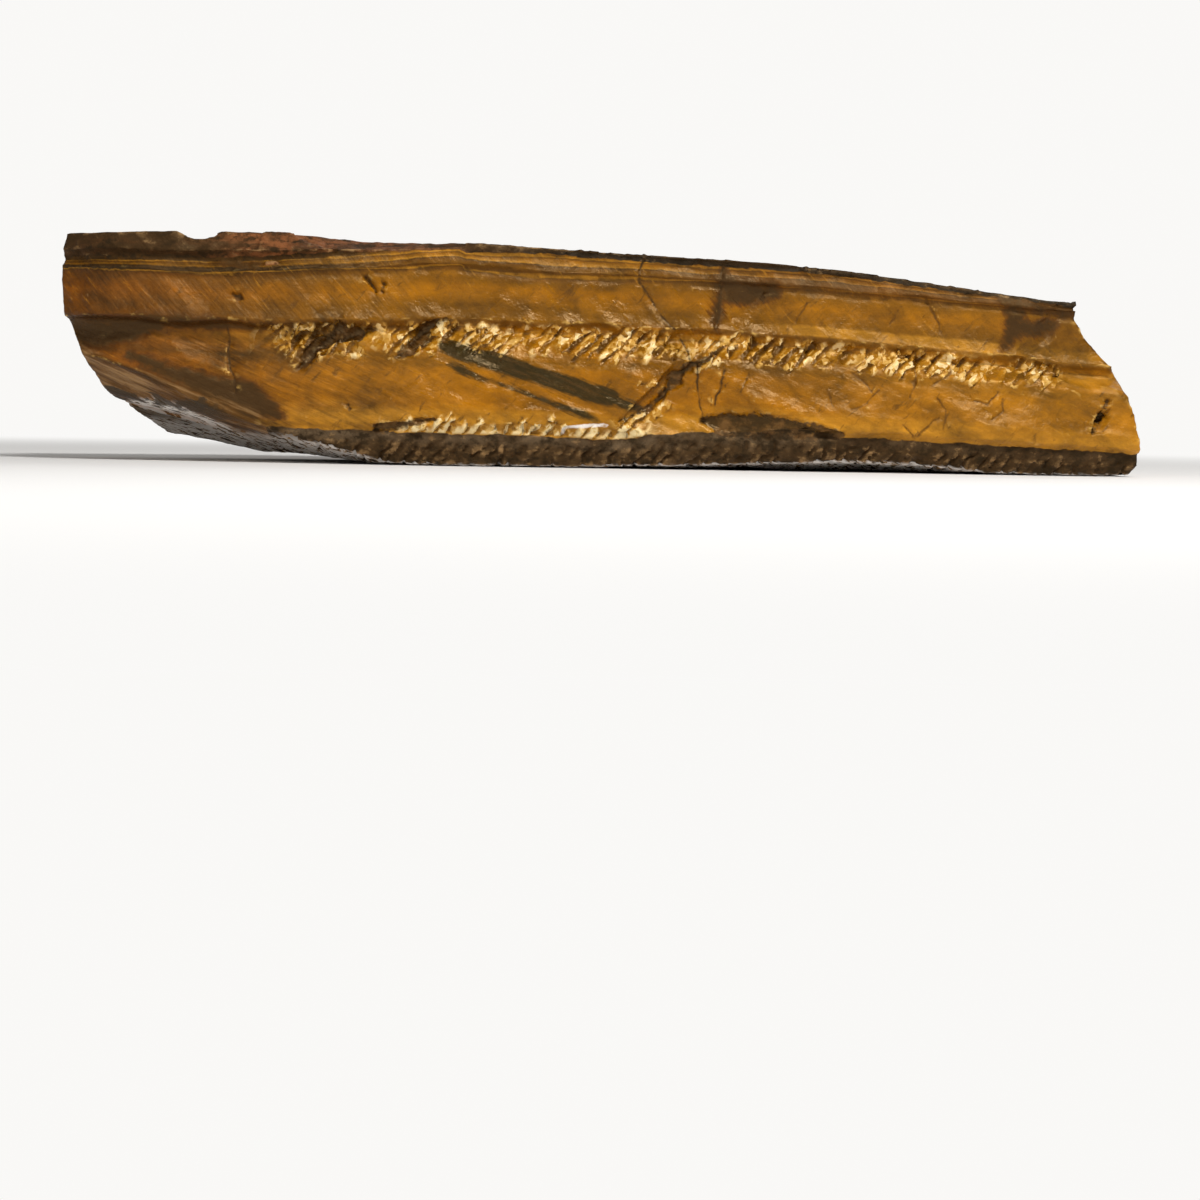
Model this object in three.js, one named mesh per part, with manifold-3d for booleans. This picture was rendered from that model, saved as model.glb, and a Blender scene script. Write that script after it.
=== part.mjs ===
// A rough slab of tiger's eye: one block of quartz fibre broken out of its vein, with a skin of dark
// wall rock above and below. The broken front face shows the vein's beds as ledges, bands and a shelf.
// Millimetres, +Z up, +X along the slab, the front face towards -Y, origin under the middle of the slab.
import * as THREE from "three";
import { mergeVertices } from "three/addons/utils/BufferGeometryUtils.js";
import Module from "manifold-3d";

const wasm = await Module();
wasm.setup();

// Driving dimensions
const LENGTH = 230;
const DEPTH = 72;
const HALF_LENGTH = LENGTH / 2;
const HALF_DEPTH = DEPTH / 2;

// How finely the faces are cut up: along the slab and from front to back
const COLUMNS = 60;
const DEPTH_CELLS = 8;

// Height of each bed's line on the front face, as [place along the slab, height]
const BEDS = {
  base: [
    [-115, 9], [-95, 6], [-85, 4.2], [-59, 1.4], [-44, 0.2], [-12, 0], [25, 0.9], [56, 2], [87, 0], [115, 0],
  ],
  wallTop: [
    [-115, 14], [-95, 10.5], [-74, 8.1], [-8, 7.6], [26, 6.7], [50, 7.6], [86, 6.2], [115, 4.7],
  ],
  ledge: [
    [-115, 30.5], [-64, 29.2], [-32, 29.9], [0, 29.3], [30, 28.1], [60, 26], [86, 23.9], [115, 21.6],
  ],
  bandFoot: [
    [-115, 40.7], [-80, 39.6], [-48, 40.9], [-30, 42], [-17, 40.6], [8, 39.9], [59, 37.1], [115, 32.8],
  ],
  bandTop: [
    [-115, 43.7], [-73, 43.6], [-43, 45.5], [-27, 46.4], [8, 44.3], [43, 42.5], [84, 38], [115, 35.3],
  ],
  top: [
    [-115, 48.4], [-98, 48.9], [-70, 49.3], [-45, 47.8], [-27, 47.4], [8, 45.2], [43, 43.3], [84, 38.8],
    [115, 36.2],
  ],
};

// Front face from bottom to top: between which beds, what share of the way up, and how far the rock
// stands proud of the mean face there, at the left end and along the rest of the slab
const FACE = [
  ["base", "wallTop", 0, -5.2, -2.4],
  ["base", "wallTop", 0.45, -4.4, -1.0],
  ["base", "wallTop", 0.97, -4.0, -0.8],
  ["wallTop", "ledge", 0.05, -3.4, 0.7],
  ["wallTop", "ledge", 0.22, -3.2, 1.2],
  ["wallTop", "ledge", 0.42, -2.8, 0.7],
  ["wallTop", "ledge", 0.62, -2.8, 0.3],
  ["wallTop", "ledge", 0.77, -3.2, -0.1],
  ["wallTop", "ledge", 0.86, -3.8, -1.9],
  ["wallTop", "ledge", 0.955, -4.0, -4.3],
  ["wallTop", "ledge", 1, -0.8, -2.4],
  ["ledge", "bandFoot", 0.1, -0.3, -1.7],
  ["ledge", "bandFoot", 0.35, -0.7, -2.3],
  ["ledge", "bandFoot", 0.65, -1.0, -2.5],
  ["ledge", "bandFoot", 0.93, -1.1, -2.2],
  ["ledge", "bandFoot", 1, -1.5, -2.7],
  ["bandFoot", "bandTop", 0.12, -0.6, -1.4],
  ["bandFoot", "bandTop", 0.5, -0.9, -1.6],
  ["bandFoot", "bandTop", 0.6, -1.3, -1.9],
  ["bandFoot", "bandTop", 1, -2.4, -2.0],
  ["bandTop", "top", 0.16, -0.5, -2.2],
  ["bandTop", "top", 1, -1.2, -2.8],
];
const ROWS = FACE.length - 1;
const LEFT_PROFILE = { from: -72, to: -38 };

// How the ledge's rim is chipped back along the slab
const RIM = { row: 10, depth: 0.9, pitch: 23 };

// How far the top skin has broken back behind the bands, along the slab
const SKIN_SETBACK = [[-115, 0], [-88, 0.4], [-70, 4], [-54, 7.5], [-40, 4], [-28, 0.4], [115, 0.4]];

// How the underside lifts off the floor towards the left end, behind the front edge
const UNDERSIDE = [[-115, 8], [-95, 5.5], [-85, 3.9], [-59, 1.2], [-46, 0.2], [-38, 0], [115, 0]];
const LIP_SHARE = 0.3;

// Plan of the slab: how far the front and back lines stray from a straight block, towards +Y
const FRONT_LINE = [[-115, 7], [-106, 3], [-80, 1], [-30, 0], [10, 0.6], [45, -0.4], [92, 0.4], [115, 4]];
const BACK_LINE = [[-115, -24], [-92, -9], [-50, 0], [-18, 3], [30, -3], [68, -2], [92, -12], [115, -27]];

// End breaks: place along the slab at each height on the front face, and how they turn away behind it
const LEFT_END = [[0, -113], [27, -114], [36, -115], [41, -115.4], [45, -114.8], [50, -113.6]];
const RIGHT_END = [
  [0, 112.5], [2, 114.2], [7.3, 114.6], [15.8, 112.3], [21, 110.4], [29.3, 103], [32.7, 100.9], [40, 100.2],
];
const END_TURN = { left: 0.1, right: -0.16 };

// Size of the broken relief on each face, and the pitch of its facets
const FRONT_RELIEF = { depth: 0.8, pitch: 37 };
const FRONT_CHIPPING = { depth: 0.4, pitch: 17 };
const BED_WANDER = { height: 0.35, pitch: 21 };
const BACK_RELIEF = { depth: 2.6, pitch: 31 };
const TOP_RELIEF = { depth: 1.6, pitch: 44, sink: 0.7, dip: 2.4 };
const BASE_RELIEF = { depth: 1.1, pitch: 29, bury: 0.5 };
const END_RELIEF = { depth: 1.7, pitch: 23 };

// Flat breaks that took off corners, each by three points that run anticlockwise seen from outside
const BREAKS = {
  leftFrontBevel: [[-112, -31, 24.7], [-85, -27.5, 10], [-69, -34, 7.7]],
  leftUnderside: [[-108, -25, 15.9], [-90, 4, 4.5], [-85, -27, 10]],
  leftEndFoot: [[-115, -28, 31], [-105, 14, 23], [-108.5, -26, 17.3]],
  backLeftTop: [[-116, 6, 40], [-70, 34, 41], [-112, 14, 30]],
  backRightFoot: [[60, 36, 8], [112, 8, 6], [80, 20, 0]],
  backRightTop: [[30, 33, 36], [60, 24, 40], [104, 14, 30]],
};

// The shelf's hackle: slanted teeth of broken fibre along the ledge
const TEETH = { from: -60, to: 100, pitch: 2.9, length: 6, width: 2.5, height: 0.9, lean: 0.85, below: 3 };

// Open cracks and long pits on the front face, by their two ends as [place along the slab, height]
const CRACKS = [
  { ends: [[-64, 21.5], [-55, 29]], width: 5.4, depth: 1.4 },
  { ends: [[-43, 24], [-35, 29.4]], width: 3.6, depth: 1.4 },
  { ends: [[25, 29.5], [37, 42]], width: 6.4, depth: 0.8 },
  { ends: [[90.5, 24.5], [97, 37]], width: 6, depth: 0.9 },
  { ends: [[-78.6, 28], [-77.6, 16]], width: 1.1, depth: 2.4 },
  { ends: [[9.4, 45.2], [8.2, 39]], width: 1.1, depth: 2.6 },
  { ends: [[20, 22.5], [20.6, 8]], width: 1.4, depth: 4.4 },
  { ends: [[66, 24], [63.8, 15.5]], width: 1.4, depth: 2.4 },
  { ends: [[109.4, 16.8], [103.8, 7.6]], width: 1.9, depth: 4 },
  { ends: [[38, 18.5], [44.5, 13.4]], width: 1, depth: 1.2 },
];

// Shell-shaped chips, each by its middle, its half sizes along X, Y and Z, and how it leans about Y
const CHIPS = {
  topNotch: { at: [-85.6, -34, 50], half: [4.6, 22, 2.4], lean: 0.12 },
  frontFoot: { at: [58, -37, -1.2], half: [26, 9, 3.4], lean: 0 },
  backTop: { at: [12, 42, 45], half: [30, 13, 9], lean: 0.1 },
  backFoot: { at: [-40, 42, 3], half: [24, 11, 9], lean: -0.2 },
  backShelf: { at: [52, 38, 22], half: [18, 8, 10], lean: 0.6 },
  rightBackEdge: { at: [108, 4, 22], half: [8, 12, 13], lean: -0.4 },
};

// Plates that flaked off the top skin: a plan outline in order round it, and how deep the flake was
const FLAKES = [
  {
    depth: 1.2,
    outline: [[-62, -8], [-40, -16], [-21, -14], [5, -20], [16, -4], [28, 8], [20, 40], [-50, 40]],
  },
  { depth: 1, outline: [[40, -14], [58, -22], [74, -16], [90, -20], [94, 2], [70, 24], [48, 16]] },
  { depth: 1.3, outline: [[-118, -10], [-96, -16], [-84, -4], [-74, 4], [-78, 40], [-118, 40]] },
];

// The step across the lower fibre: its wall's two ends, and the shell-shaped hollow beside the wall
const STEP = { upper: [20.5, 27], lower: [3.5, 9.4] };
const STEP_HOLLOW = { at: [16, 14.5], half: [25, 6, 12.5], lean: 0.5, stand: 0.55 };

// A smooth line through hand-set points, as a function of the place along the slab
function lineThrough(points) {
  const places = points.map(([place]) => place);
  const heights = points.map(([, height]) => height);
  const curve = new THREE.CubicInterpolant(places, heights, 1);
  return (place) => curve.evaluate(place)[0];
}

// A line of straight stretches through hand-set points
function straightsThrough(points) {
  const places = points.map(([place]) => place);
  const values = points.map(([, value]) => value);
  const line = new THREE.LinearInterpolant(places, values, 1);
  return (place) => line.evaluate(place)[0];
}

const bed = Object.fromEntries(Object.entries(BEDS).map(([name, points]) => [name, lineThrough(points)]));
const frontLine = lineThrough(FRONT_LINE);
const backLine = straightsThrough(BACK_LINE);
const skinSetback = lineThrough(SKIN_SETBACK);
const underside = lineThrough(UNDERSIDE);
const leftEnd = straightsThrough(LEFT_END);
const rightEnd = straightsThrough(RIGHT_END);

const UP = new THREE.Vector3(0, 0, 1);

// A zigzag of period 1 that runs between -1 and 1
const zigzag = (t) => 4 * Math.abs(t - Math.floor(t + 0.5)) - 1;

// Broken relief between -1 and 1: three zigzags that cross, so that the surface is flat facets
function facets(a, b, pitch, seed) {
  const first = zigzag(a / pitch + seed);
  const second = zigzag((0.55 * a + 0.83 * b) / (0.71 * pitch) + 2.3 * seed);
  const third = zigzag((0.8 * b - 0.6 * a) / (0.53 * pitch) + 3.7 * seed);
  return (first + 0.7 * second + 0.5 * third) / 2.2;
}

// Height of a row of the face at a place along the slab
function rowHeight(row, x) {
  const [below, above, share] = FACE[row];
  const height = THREE.MathUtils.lerp(bed[below](x), bed[above](x), share);
  const edge = row === 0 || row === ROWS;
  return edge ? height : height + BED_WANDER.height * facets(x, height, BED_WANDER.pitch, 0.37);
}

// How far a row stands proud of the mean face at a place along the slab
function rowProud(row, x) {
  const [, , , left, rest] = FACE[row];
  const share = THREE.MathUtils.smoothstep(x, LEFT_PROFILE.from, LEFT_PROFILE.to);
  return THREE.MathUtils.lerp(left, rest, share);
}

// Front and back surface of the slab at a row
function frontY(row, x) {
  const z = rowHeight(row, x);
  const relief = FRONT_RELIEF.depth * facets(x, z, FRONT_RELIEF.pitch, 0.2)
    + FRONT_CHIPPING.depth * facets(x, z, FRONT_CHIPPING.pitch, 0.9);
  const setback = row === ROWS ? skinSetback(x) : 0;
  const rim = row === RIM.row ? RIM.depth * facets(x, 0, RIM.pitch, 0.7) : 0;
  return -HALF_DEPTH + frontLine(x) - rowProud(row, x) - relief + setback + rim;
}
function backY(row, x) {
  const relief = BACK_RELIEF.depth * facets(x, 1.6 * rowHeight(row, x), BACK_RELIEF.pitch, 0.43);
  return HALF_DEPTH + backLine(x) + rowProud(row, x) + relief;
}

// The front surface at any height, found between the two rows around it
function faceY(x, z) {
  const above = FACE.findIndex((_, row) => rowHeight(row, x) >= z);
  const upper = above < 1 ? ROWS : above;
  const lower = upper - 1;
  const share = (z - rowHeight(lower, x)) / (rowHeight(upper, x) - rowHeight(lower, x));
  return THREE.MathUtils.lerp(frontY(lower, x), frontY(upper, x), share);
}

// Where a point of the unit block lies in the rock: u runs along, v from front to back, row from base to top
function placeInRock(u, v, row) {
  const inside = Math.sin(Math.PI * v);
  let x = u * HALF_LENGTH;
  let y = 0;
  let z = 0;
  // The ends depend on the height and the height on the place along, so both are settled in turn
  for (let pass = 0; pass < 4; pass++) {
    y = THREE.MathUtils.lerp(frontY(row, x), backY(row, x), v);
    const skin = facets(x, y, TOP_RELIEF.pitch, 0.11) - TOP_RELIEF.sink;
    const top = bed.top(x) + TOP_RELIEF.depth * (0.3 * v + inside) * skin - TOP_RELIEF.dip * v * v;
    const foot = BASE_RELIEF.depth * facets(x, y, BASE_RELIEF.pitch, 0.61) - BASE_RELIEF.bury;
    const base = THREE.MathUtils.lerp(bed.base(x), underside(x), Math.min(1, v / LIP_SHARE)) + inside * foot;
    const share = (rowHeight(row, x) - bed.base(x)) / (bed.top(x) - bed.base(x));
    z = THREE.MathUtils.lerp(base, top, share);
    const behind = y - frontY(row, x);
    const broken = END_RELIEF.depth * inside * facets(y, z, END_RELIEF.pitch, u > 0 ? 0.3 : 0.8);
    const left = leftEnd(z) + END_TURN.left * behind + broken;
    const right = rightEnd(z) + END_TURN.right * behind + broken;
    x = THREE.MathUtils.lerp(left, right, (u + 1) / 2);
  }
  return [x, y, z];
}

// A closed geometry as a solid that can be joined and cut
function solidOf(geometry) {
  const bare = geometry.clone();
  bare.deleteAttribute("normal");
  bare.deleteAttribute("uv");
  const merged = mergeVertices(bare, 1e-4);
  const triVerts = new Uint32Array(merged.index.array);
  const vertProperties = merged.attributes.position.array;
  return new wasm.Manifold(new wasm.Mesh({ numProp: 3, vertProperties, triVerts }));
}

// A solid back as a geometry
function geometryOf(solid) {
  const { vertProperties, triVerts } = solid.getMesh();
  const geometry = new THREE.BufferGeometry();
  geometry.setAttribute("position", new THREE.BufferAttribute(vertProperties, 3));
  geometry.setIndex(new THREE.BufferAttribute(triVerts, 1));
  geometry.computeVertexNormals();
  return geometry;
}

// The vein block with its beds, before anything broke off it
function veinBlock() {
  const block = new THREE.BoxGeometry(2, 1, 1, COLUMNS, DEPTH_CELLS, ROWS);
  const position = block.attributes.position;
  for (let i = 0; i < position.count; i++) {
    const row = Math.round((position.getZ(i) + 0.5) * ROWS);
    position.setXYZ(i, ...placeInRock(position.getX(i), position.getY(i) + 0.5, row));
  }
  return solidOf(block);
}

// Everything outside the plane through three points
function outsideOf([a, b, c]) {
  const reach = 2 * LENGTH;
  const plane = new THREE.Plane().setFromCoplanarPoints(...[a, b, c].map((p) => new THREE.Vector3(...p)));
  const turn = new THREE.Quaternion().setFromUnitVectors(UP, plane.normal);
  const middle = new THREE.Vector3(...a).addScaledVector(plane.normal, reach / 2);
  return solidOf(new THREE.BoxGeometry(reach, reach, reach).applyQuaternion(turn).translate(...middle));
}

// A double-ended sliver in the front face, along the line between two points of the face
function sliver(ends, width, depth) {
  const [from, to] = ends.map(([x, z]) => new THREE.Vector3(x, faceY(x, z), z));
  const half = to.clone().sub(from).divideScalar(2);
  const middle = from.clone().add(half);
  const turn = new THREE.Quaternion().setFromUnitVectors(UP, half.clone().normalize());
  const geometry = new THREE.OctahedronGeometry(1)
    .scale(width / 2, depth, half.length())
    .applyQuaternion(turn)
    .translate(middle.x, faceY(middle.x, middle.z), middle.z);
  return solidOf(geometry);
}

// One tooth of the shelf's hackle: the teeth wander, and swell in clusters
function tooth(index) {
  const wander = 0.6 * Math.sin(7.3 * index) + 0.4 * Math.sin(2.9 * index);
  const swell = 0.9 + 0.3 * Math.sin(0.63 * index) + 0.25 * Math.sin(5.1 * index);
  const x = TEETH.from + TEETH.pitch * (index + 0.45 * wander);
  const z = bed.ledge(x) - TEETH.below - 0.7 * wander;
  const half = swell * TEETH.length / 2;
  const lean = TEETH.lean * (1 + 0.35 * Math.sin(3.7 * index));
  const along = [half * Math.sin(lean), half * Math.cos(lean)];
  const ends = [[x - along[0], z - along[1]], [x + along[0], z + along[1]]];
  return sliver(ends, swell * TEETH.width, swell * TEETH.height);
}

// A chip as a stretched ball, leaning about Y
function ballOf({ half, lean }, middle) {
  return solidOf(new THREE.IcosahedronGeometry(1, 2).scale(...half).rotateY(lean).translate(...middle));
}

// What left the step across the lower fibre: a hollow that stops at a wall along the step's line
function stepCut() {
  const [x0, z0] = STEP.lower;
  const [x1, z1] = STEP.upper;
  const [x, z] = STEP_HOLLOW.at;
  const hollow = ballOf(STEP_HOLLOW, [x, faceY(x, z) - STEP_HOLLOW.stand * STEP_HOLLOW.half[1], z]);
  return hollow.subtract(outsideOf([[x1, 0, z1], [x0, 0, z0], [x0, -HALF_DEPTH, z0]]));
}

// A plate that flaked off the top skin, lying along the skin's slope
function flakeCut({ outline, depth }) {
  const shape = new THREE.Shape(outline.map(([x, y]) => new THREE.Vector2(x, y)));
  const plate = new THREE.ExtrudeGeometry(shape, { depth: DEPTH, bevelEnabled: false });
  const position = plate.attributes.position;
  for (let i = 0; i < position.count; i++) {
    const x = position.getX(i);
    const v = (position.getY(i) + HALF_DEPTH) / DEPTH;
    position.setZ(i, position.getZ(i) + bed.top(x) - TOP_RELIEF.depth - TOP_RELIEF.dip * v * v - depth);
  }
  return solidOf(plate);
}

// Everything under the floor, so that the underside rests on flat high spots
function underFloor() {
  const reach = 2 * LENGTH;
  return solidOf(new THREE.BoxGeometry(reach, reach, reach).translate(0, 0, -reach / 2));
}

function slabSolid() {
  let solid = veinBlock();
  const teeth = Math.floor((TEETH.to - TEETH.from) / TEETH.pitch);
  for (let index = 0; index <= teeth; index++) solid = solid.add(tooth(index));
  for (const corner of Object.values(BREAKS)) solid = solid.subtract(outsideOf(corner));
  for (const { ends, width, depth } of CRACKS) solid = solid.subtract(sliver(ends, width, depth));
  for (const chip of Object.values(CHIPS)) solid = solid.subtract(ballOf(chip, chip.at));
  for (const flake of FLAKES) solid = solid.subtract(flakeCut(flake));
  return solid.subtract(stepCut()).subtract(underFloor());
}

// The geometry with the middle of its plan over the origin
function overOrigin(geometry) {
  geometry.computeBoundingBox();
  const middle = geometry.boundingBox.getCenter(new THREE.Vector3());
  return geometry.translate(-middle.x, -middle.y, 0);
}

const quartzFibre = new THREE.MeshStandardMaterial({ color: "#96601a", roughness: 0.35, metalness: 0 });

const slab = new THREE.Mesh(overOrigin(geometryOf(slabSolid())), quartzFibre);
slab.name = "slab";

const tigersEyeSlab = new THREE.Group();
tigersEyeSlab.add(slab);

export default tigersEyeSlab;
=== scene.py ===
import math
from functools import partial
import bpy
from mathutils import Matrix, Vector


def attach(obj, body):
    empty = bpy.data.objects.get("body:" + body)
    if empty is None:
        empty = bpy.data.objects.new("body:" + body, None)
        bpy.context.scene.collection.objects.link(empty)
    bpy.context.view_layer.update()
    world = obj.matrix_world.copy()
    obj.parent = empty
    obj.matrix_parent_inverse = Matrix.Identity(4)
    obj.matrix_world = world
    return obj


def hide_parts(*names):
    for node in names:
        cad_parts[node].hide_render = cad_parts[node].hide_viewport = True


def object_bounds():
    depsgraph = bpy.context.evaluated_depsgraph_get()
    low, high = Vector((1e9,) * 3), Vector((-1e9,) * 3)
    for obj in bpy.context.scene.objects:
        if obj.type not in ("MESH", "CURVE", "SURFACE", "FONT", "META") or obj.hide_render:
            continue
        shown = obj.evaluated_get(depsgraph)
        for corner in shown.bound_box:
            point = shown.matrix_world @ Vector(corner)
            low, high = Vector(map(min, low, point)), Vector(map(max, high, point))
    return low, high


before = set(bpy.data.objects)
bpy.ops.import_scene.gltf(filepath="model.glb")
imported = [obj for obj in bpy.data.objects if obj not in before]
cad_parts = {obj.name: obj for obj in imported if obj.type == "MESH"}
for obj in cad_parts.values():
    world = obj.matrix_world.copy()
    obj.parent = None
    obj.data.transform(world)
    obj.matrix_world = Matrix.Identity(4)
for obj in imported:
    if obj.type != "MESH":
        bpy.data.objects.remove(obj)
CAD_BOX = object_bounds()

from types import SimpleNamespace

import bmesh
import bpy
import numpy as np
from bpy.props import FloatProperty, FloatVectorProperty, IntProperty, PointerProperty
from mathutils import Euler, Matrix, Vector

bl_info = {
    "name": "Rough tiger's eye slab",
    "version": (1, 0, 0),
    "blender": (4, 5, 0),
    "location": "3D View > Sidebar > Tiger's eye",
    "description": "Dresses the slab's solid with broken fibre and a dark rock skin, and sets it on a stage",
    "category": "Add Mesh",
}

MM = 0.001
NODE = "slab"

# From the drawing's origin to the solid's, along and across the slab, in millimetres
DRAWN_FROM = (0.46, -1.18, 0.0)

# The vein's beds on the front face, from below, as (place along the slab, height) in millimetres
BEDS = [
    [(-115, 9), (-95, 6), (-85, 4.2), (-59, 1.4), (-44, 0.2), (-12, 0), (25, 0.9), (56, 2), (87, 0),
     (115, 0)],
    [(-115, 14), (-95, 10.5), (-74, 8), (-40, 7), (-8, 6.5), (4, 6.2), (14, 7.6), (26, 8.2), (50, 7.4),
     (86, 6), (115, 4.7)],
    [(-115, 30.5), (-64, 29.2), (-32, 29.9), (0, 29.3), (30, 28.1), (60, 26), (86, 23.9), (115, 21.6)],
    [(-115, 40.7), (-80, 39.6), (-48, 40.9), (-30, 42), (-17, 40.6), (8, 39.9), (59, 37.1), (115, 32.8)],
    [(-115, 43.7), (-73, 43.6), (-43, 45.5), (-27, 46.4), (8, 44.3), (43, 42.5), (84, 38), (115, 35.3)],
    [(-115, 48.4), (-98, 48.9), (-70, 49.3), (-45, 47.8), (-27, 47.4), (8, 45.2), (43, 43.3), (84, 38.8),
     (115, 36.2)],
]

# Rows of that list: the tops of the wall rock, the bands and the slab (2 is the ledge, 3 the bands' foot)
WALL_TOP, BAND_TOP, TOP = 1, 4, 5

# The lower left corner: the scoured facet lies below the first line, the brown bevel below the second
FACET_LINE = [(-112, 17.5), (-105, 13.6), (-91.5, 12.4), (-85, 9.6), (-74, 3.2)]
BEVEL_LINE = [(-115, 25.6), (-112, 24.7), (-102, 20.6), (-91.5, 17.2), (-81, 13.5), (-74, 11), (-69, 7.7)]
CORNER_END = -71.0

# Height that the top line is levelled to, in millimetres
LEVEL_TOP = 49.0

# A small fault, in millimetres: how far it shifts the bands, where it starts and dies out, and its foot
BAND_SHIFT = 0.8
FAULT = (-29.8, -28.8)
FAULT_END = (-26, -4)
FAULT_FOOT = (37, 39)

# How far the top skin sinks towards the back, in millimetres, the slab's half depth, and where the front ends
SKIN_DIP = 4.0
HALF_DEPTH = 36.0
FRONT_END = (-20, -8)

# How much further down the top skin reaches right of a place, in millimetres
SKIN_DROP = 0.6
SKIN_DROP_FROM = (-50, -30)

# Where the hackle, the splinters at the foot and the softened ledge begin and end, in millimetres
SHELF_FROM = (-76, -62)
SHELF_TO = (90, 100)
SPLINTERS_FROM = (-48, -38)
SPLINTERS_TO = (8, 12)
SOFT_FROM = (-62, -40)

# Distance that stands for far away from a mark, in millimetres
FAR = 8.0

# Marks on the front face as brush strokes, in millimetres: (place along the slab, height, half width)
HAWK_STREAKS = [
    [(-32.7, 25.4, 1.5), (-29.9, 24.4, 1.9), (-22.8, 22.3, 1.9), (-16.3, 20.3, 2.0)],
    [(-15.4, 20.1, 1.6), (-9.7, 18.4, 2.0), (-3.6, 16.5, 2.0), (2.0, 15.1, 1.9), (3.5, 14.1, 0.8)],
    [(3.5, 14.1, 1.0), (6.6, 13.1, 1.1), (9.1, 12.7, 0.4)],
    [(-31.7, 21.4, 0.6), (-28.9, 20.1, 1.0), (-25.4, 18.7, 0.5), (-13.7, 15.1, 0.4), (-3.6, 11.4, 0.9),
     (-0.5, 10, 0.4)],
]
STAINS = [
    [(-113.8, 27.6, 2.8), (-106.7, 27.2, 3), (-100.1, 27.8, 2.7), (-94, 29.2, 1.9), (-86.4, 29.4, 1.6),
     (-80.3, 29.1, 1)],
    [(-100.1, 22.8, 0.8), (-91.5, 19.3, 1.8), (-81.4, 15.5, 3), (-73.8, 13.1, 3.5), (-68.2, 9.6, 1.3)],
    [(25.3, 42.8, 0.8), (25.3, 39.3, 2.3), (27.8, 37.8, 2.8), (31.4, 37.3, 2.5), (35.4, 37.4, 2)],
    [(25, 39.3, 1.5), (24.3, 32.7, 1.3), (24, 29.9, 0.5)],
    [(84.2, 37.4, 1.6), (87.1, 36.5, 2.2), (86.9, 32.8, 2.2), (86.5, 30, 1.9), (85.8, 28, 1.4),
     (84.4, 26.6, 0.6)],
    [(86.9, 32.2, 1.5), (89.5, 31.2, 2), (91.6, 31, 2.1), (95, 31.8, 1.4), (97, 32.2, 0.6)],
    [(87.1, 36.2, 1.5), (90, 35.8, 1.3), (101, 34.2, 0.9)],
    [(-84.4, 44.3, 0.5), (-81.4, 44.1, 1.1), (-76.3, 41.9, 1.5), (-73.3, 41.9, 0.6)],
]
HOLLOWS = [
    [(-63.9, 20, 0.4), (-61.9, 22.4, 1.3), (-60.1, 25.4, 1.5), (-56.5, 27.5, 1.4), (-51.5, 27.6, 1.1),
     (-47.9, 28.7, 0.5)],
    [(-42.9, 22.7, 0.5), (-40.8, 24.4, 1.5), (-39, 26.6, 1.8), (-36.5, 29.1, 1.1), (-33, 30.5, 0.4)],
    [(19, 22.4, 0.5), (17.7, 20.9, 1.1), (15.2, 18.3, 1.3), (12.6, 15.2, 0.8), (9.6, 12.7, 0.5),
     (4, 10, 0.3)],
    [(23.8, 25.6, 0.5), (21.8, 23.5, 1.1), (19, 21.9, 0.7)],
    [(21.5, 10.8, 0.8), (25.8, 9.8, 2.3), (31.4, 9.3, 2.7), (36.9, 9.3, 2.5), (46.9, 8.3, 1.2),
     (51, 7.8, 0.5)],
    [(-47, 7.6, 0.9), (-42.1, 8, 0.8), (-38, 9.4, 0.5), (-34.7, 9.7, 0.2)],
    [(107, 15.8, 0.3), (105.7, 12.7, 0.7), (103.9, 8.7, 0.3)],
    [(-106.7, 15.3, 0.5), (-104.2, 14.1, 1.4), (-100.1, 12.9, 0.6)],
    [(-101, 13, 0.5), (-95.5, 12.6, 0.7), (-90.5, 12, 1.2), (-85.4, 12, 1.8), (-80, 10, 1.4),
     (-76, 8.5, 0.5)],
    [(-78, 35.6, 0.3), (-76.6, 35, 0.6), (-75.6, 34.6, 0.2)],
    [(-49.6, 39.4, 0.3), (-48.6, 38, 0.6), (-47.6, 36.6, 0.3)],
    [(-46.6, 39, 0.2), (-46, 38, 0.4), (-46.3, 36.8, 0.2)],
    [(-53.5, 13.6, 0.2), (-53.2, 12.6, 0.5), (-52.9, 11.8, 0.2)],
]

# A thin rim of white quartz at the foot of the lower fibre
QUARTZ = [[(-7.9, 7.1, 0.3), (-7.7, 7.9, 0.35), (-6.4, 8.5, 0.35), (-3, 8.9, 0.3), (1.4, 9.1, 0.25)]]

# Strips of small chips beside the step and below the left of the ledge, pale like the hackle: partly painted
# light
CHIPPED = [
    [(6, 10.4, 0.8), (11, 11.6, 1.3), (14, 13.4, 1)],
    [(20, 20.4, 0.4), (22.5, 22.6, 0.8), (25.5, 25.6, 1)],
    [(-55.5, 23.6, 0.4), (-53, 23.4, 0.9), (-50, 22.6, 0.4)],
    [(8, 18, 0.3), (11, 18, 0.7), (13, 17.4, 0.3)],
]

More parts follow.
